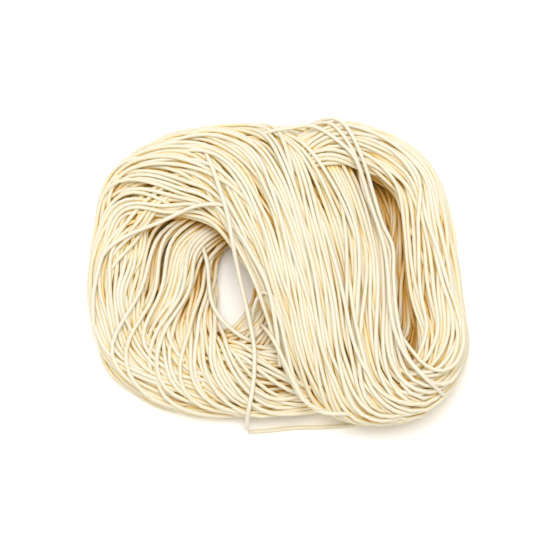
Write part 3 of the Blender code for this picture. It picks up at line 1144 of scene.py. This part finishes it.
class VERMICELLI_OT_wound_strands(bpy.types.Operator):
    """Winds the strands of both lays, settles them and makes their pieces"""

    bl_idname = "vermicelli.wound_strands"
    bl_label = "Wind the Strands"

    def execute(self, context):
        sizes, colours = context.scene.bundle_sizes, context.scene.bundle_colours
        rng = np.random.default_rng(SEED)
        diameter = sizes.strand_diameter / MM
        wander = sizes.wander / MM
        ring = wound(RING, sizes.ring_strands, sizes.ring_turns, wander, rng)
        eight = wound(EIGHT, sizes.eight_strands, sizes.eight_turns, wander, rng)
        strands = Strands(ring + eight)
        settle(strands, diameter, sizes.settle_rounds, sizes.settle_drop / MM, sizes.settle_hold)
        middle = (strands.points.min(axis=0) + strands.points.max(axis=0))[:2] / 2
        strands.points[:, :2] -= middle
        fullness = Fullness(strands, diameter)
        settled.update(strands=strands, middle=middle, fullness=fullness, dough=dried_dough(colours))
        paths = strands.paths()
        strand_piece("ring_strands", paths[: len(ring)], sizes, rng, len(ring[0]) / sizes.ring_turns)
        share = math.ceil(len(eight) / len(EIGHT_PIECES))
        turn_points = len(eight[0]) / sizes.eight_turns
        for i, letter in enumerate(EIGHT_PIECES):
            own = paths[len(ring) :][i * share : (i + 1) * share]
            strand_piece(f"eight_strands_{letter}", own, sizes, rng, turn_points)
        return {"FINISHED"}


class VERMICELLI_OT_loose_strands(bpy.types.Operator):
    """Lays the loose strands over the settled bundle"""

    bl_idname = "vermicelli.loose_strands"
    bl_label = "Lay the Loose Strands"

    def execute(self, context):
        sizes = context.scene.bundle_sizes
        diameter = sizes.strand_diameter / MM
        middle = from_winding("middle")
        heap = from_winding("strands").dense()
        paths = []
        for route in LOOSE + HANGING:
            path = draped(route - middle, heap, diameter, route in LOOSE)
            paths.append(path)
            heap = np.concatenate([heap, path, (path[1:] + path[:-1]) / 2])
        for route in ON_THE_TABLE:
            line = smooth_route(route - middle)
            paths.append(np.column_stack([line, np.full(len(line), FLOOR_RISE * diameter)]))
        rng = np.random.default_rng(SEED + 1)
        longest = max(len(path) for path in paths)
        strand_piece("loose_strands", paths, sizes, rng, longest, LOOSE_DEPTH)
        return {"FINISHED"}


class VERMICELLI_OT_core(bpy.types.Operator):
    """Makes the hidden core under the strands"""

    bl_idname = "vermicelli.core"
    bl_label = "Make the Core"

    def execute(self, context):
        points, faces = core_body(from_winding("strands").dense())
        mesh = plain_mesh("core", points * MM, faces=faces)
        mesh.shade_smooth()
        mesh.materials.append(inner_dough(context.scene.bundle_colours))
        rides_on_root(placed("core", mesh))
        return {"FINISHED"}


class VERMICELLI_OT_stage(bpy.types.Operator):
    """Sets the floor, the light and the camera"""

    bl_idname = "vermicelli.stage"
    bl_label = "Set the Stage"

    def execute(self, context):
        stage = context.scene.stage_settings
        half = FLOOR_HALF
        corner = [(-half, -half, 0), (half, -half, 0), (half, half, 0), (-half, half, 0)]
        mesh = plain_mesh("stage_floor", corner, faces=[(0, 1, 2, 3)])
        mesh.materials.append(pale_floor(stage))
        placed("stage_floor", mesh)

        world = bpy.data.worlds.new("room")
        world.use_nodes = True
        light = world.node_tree.nodes["Background"].inputs
        light["Color"].default_value = (1.0, 1.0, 1.0, 1.0)
        light["Strength"].default_value = stage.sky
        context.scene.world = world

        key = bpy.data.lights.new("key", "AREA")
        key.energy, key.size = stage.key_power, LAMP_SIZE
        lamp = placed("key", key)
        lamp.location = LAMP_PLACE
        lamp.rotation_euler = (-lamp.location).to_track_quat("-Z", "Y").to_euler()

        camera = bpy.data.cameras.new("camera")
        camera.lens, camera.sensor_width = stage.lens, SENSOR_WIDTH
        camera.clip_start = NEAREST_SEEN
        holder = placed("camera", camera)
        aim = Vector((*(AIM[:2] - from_winding("middle")), AIM[2])) * MM
        back = stage.view_width * camera.lens / camera.sensor_width
        down = stage.elevation
        holder.location = aim + Vector((0, -math.cos(down), math.sin(down))) * back
        holder.rotation_euler = (math.pi / 2 - down, 0, 0)
        context.scene.camera = holder
        context.scene.view_settings.view_transform = "Standard"
        return {"FINISHED"}


class VERMICELLI_PT_panel(bpy.types.Panel):
    """Lists the operators and the sizes and colours they use"""

    bl_idname = "VERMICELLI_PT_panel"
    bl_label = "Vermicelli Bundle"
    bl_space_type = "VIEW_3D"
    bl_region_type = "UI"
    bl_category = "Vermicelli"

    def draw(self, context):
        """Draws the settings and the operators' buttons."""
        layout, scene = self.layout, context.scene
        for group in (scene.bundle_sizes, scene.bundle_colours, scene.stage_settings):
            box = layout.box()
            for key in group.bl_rna.properties.keys():
                if key not in {"rna_type", "name"}:
                    box.prop(group, key)
        for operator in OPERATORS:
            layout.operator(operator.bl_idname)


# Registration and the whole run

GROUPS = {
    "bundle_sizes": BundleSizes,
    "bundle_colours": BundleColours,
    "stage_settings": StageSettings,
}
OPERATORS = (
    VERMICELLI_OT_wound_strands,
    VERMICELLI_OT_loose_strands,
    VERMICELLI_OT_core,
    VERMICELLI_OT_stage,
)


def register():
    """Adds the settings, the operators and the panel to Blender."""
    for kind in (*GROUPS.values(), *OPERATORS, VERMICELLI_PT_panel):
        bpy.utils.register_class(kind)
    for name, kind in GROUPS.items():
        setattr(bpy.types.Scene, name, PointerProperty(type=kind))


def unregister():
    """Takes them away again."""
    for name in GROUPS:
        delattr(bpy.types.Scene, name)
    for kind in reversed((*GROUPS.values(), *OPERATORS, VERMICELLI_PT_panel)):
        bpy.utils.unregister_class(kind)


def main():
    """Makes every piece and the stage."""
    register()
    bpy.ops.vermicelli.wound_strands()
    bpy.ops.vermicelli.loose_strands()
    bpy.ops.vermicelli.core()
    bpy.ops.vermicelli.stage()


if __name__ == "__main__":
    main()
